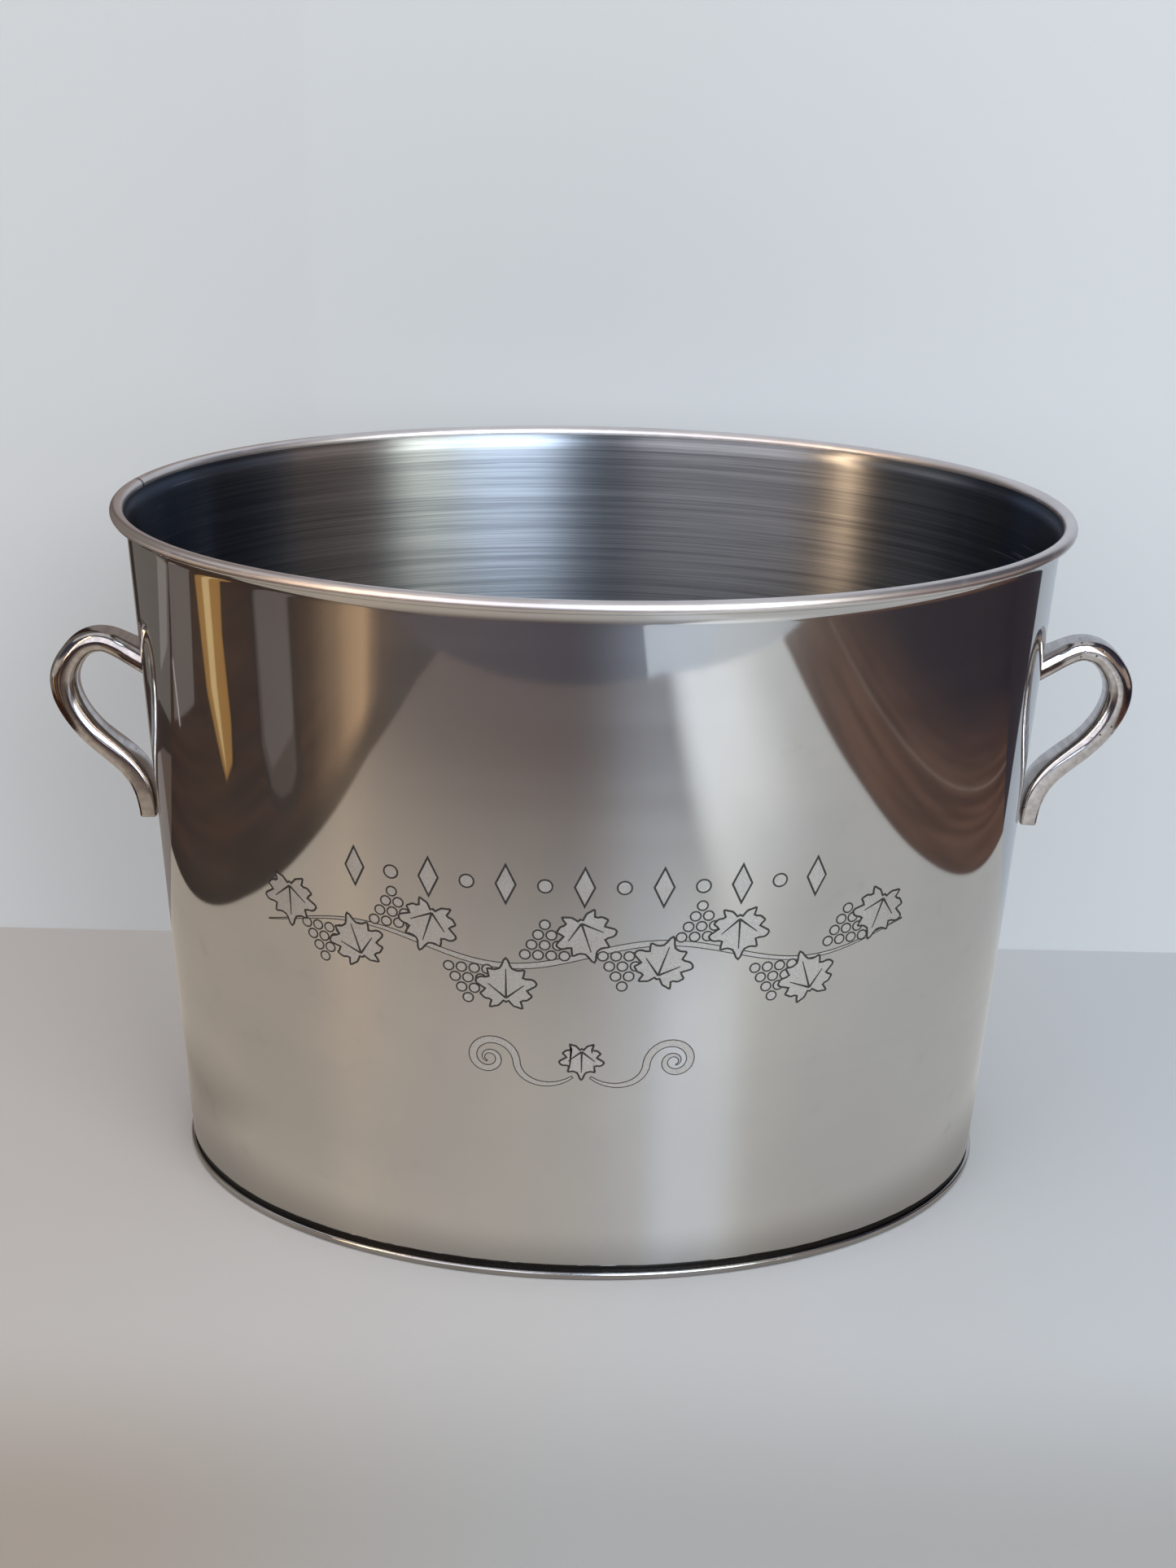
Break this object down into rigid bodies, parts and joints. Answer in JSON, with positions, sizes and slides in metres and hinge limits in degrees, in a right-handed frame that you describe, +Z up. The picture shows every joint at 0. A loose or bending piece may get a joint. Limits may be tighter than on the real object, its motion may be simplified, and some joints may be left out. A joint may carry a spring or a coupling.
{
  "type": "oval champagne bucket",
  "caption": "Oval polished steel champagne bucket: tapered sheet wall, wire-stiffened rolled rim, hemmed base pan and fixed ear handles welded to the ends.",
  "frame": {"origin": "on the table under the middle of the bucket, at the level of the base's contact ring", "axes": "+X along the oval's long axis, from the left handle to the right handle; +Y along the short axis; +Z up, out of the mouth"},
  "size_m": [0.3981, 0.225, 0.262],
  "materials": {
    "polished_steel": "mirror polished outside, brushed inside",
    "handle_steel": "hand polished casting",
    "base_steel": "satin rolled sheet",
    "wire_steel": "drawn wire",
    "sealant": "cured seaming compound"
  },
  "bodies": {
    "root": {"bucket_wall": "polished_steel", "rim_wire": "wire_steel", "base_pan": "base_steel", "seam_sealant": "sealant", "handle_left": "handle_steel", "handle_right": "handle_steel"}
  },
  "joints": []
}
